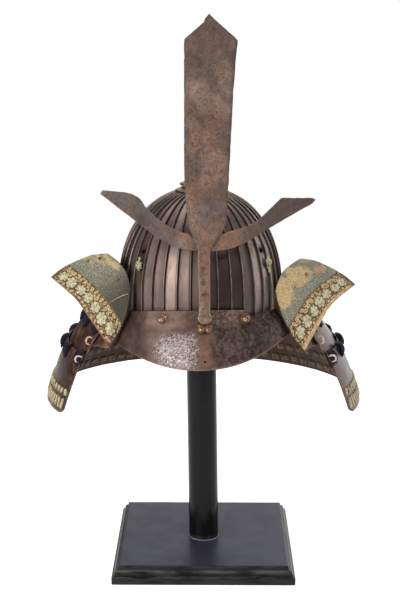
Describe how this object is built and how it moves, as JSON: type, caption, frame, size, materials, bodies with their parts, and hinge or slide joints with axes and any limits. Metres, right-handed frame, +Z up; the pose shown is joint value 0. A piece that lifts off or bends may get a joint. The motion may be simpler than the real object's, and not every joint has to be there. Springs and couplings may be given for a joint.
{
  "type": "kabuto samurai helmet on plain black display stand",
  "caption": "Ribbed iron samurai helmet with visor, blade-and-horn crest, turnbacks and laced neck guard, held on a plain square black stand with a round post.",
  "frame": {"origin": "centre of the underside of the stand's square base", "axes": "+Z up, -Y towards the front that the visor faces, +X towards the wearer's left"},
  "size_m": [0.433, 0.3933, 0.7272],
  "materials": {
    "stand": "plain black stand, satin painted wood",
    "iron": "aged russet iron with a dull grey-brown sheen",
    "dark_iron": "dark russet iron, speckled with grey corrosion",
    "rust": "pitted rusty iron with orange and blue-grey patches",
    "gilt": "worn gilt copper",
    "copper": "worn brownish copper",
    "lacquer": "dark red-brown lacquer, worn in patches",
    "leather": "grey-green stencilled leather with ochre and pink patches",
    "border": "stencilled border leather, pale green blossoms on brown and gold",
    "lacing": "navy braided lacing, nearly black",
    "cream": "faded cream and pale green braid and leather"
  },
  "bodies": {
    "root": {"stand_base": "stand", "stand_post": "stand", "stand_head": "stand", "bowl": "iron", "bowl_knob_left": "cream", "bowl_knob_right": "cream", "waist_band": "dark_iron", "crown_rosette": "gilt", "crown_collar": "copper", "visor": "dark_iron", "visor_rivet_left": "copper", "visor_rivet_right": "copper", "crest_blade": "rust", "crest_horns": "rust", "crest_socket": "copper", "neck_lame_1": "lacquer", "neck_lame_2": "lacquer", "neck_lame_3": "lacquer", "turnback_leather_left": "leather", "turnback_leather_right": "leather", "turnback_border_left": "border", "turnback_border_right": "border", "lace_upper_left_1": "lacing", "lace_upper_left_2": "lacing", "lace_upper_left_3": "lacing", "lace_upper_left_4": "lacing", "lace_upper_left_5": "lacing", "lace_upper_left_6": "lacing", "lace_upper_left_7": "lacing", "lace_upper_right_1": "lacing", "lace_upper_right_2": "lacing", "lace_upper_right_3": "lacing", "lace_upper_right_4": "lacing", "lace_upper_right_5": "lacing", "lace_upper_right_6": "lacing", "lace_upper_right_7": "lacing", "lace_lower_left_1": "lacing", "lace_lower_left_2": "lacing", "lace_lower_left_3": "lacing", "lace_lower_left_4": "lacing", "lace_lower_left_5": "lacing", "lace_lower_left_6": "lacing", "lace_lower_left_7": "lacing", "lace_lower_right_1": "lacing", "lace_lower_right_2": "lacing", "lace_lower_right_3": "lacing", "lace_lower_right_4": "lacing", "lace_lower_right_5": "lacing", "lace_lower_right_6": "lacing", "lace_lower_right_7": "lacing", "turnback_stud_1": "gilt", "turnback_stud_2": "gilt", "turnback_stud_3": "gilt", "turnback_stud_4": "gilt", "turnback_stud_5": "gilt", "turnback_stud_6": "gilt"}
  },
  "joints": []
}
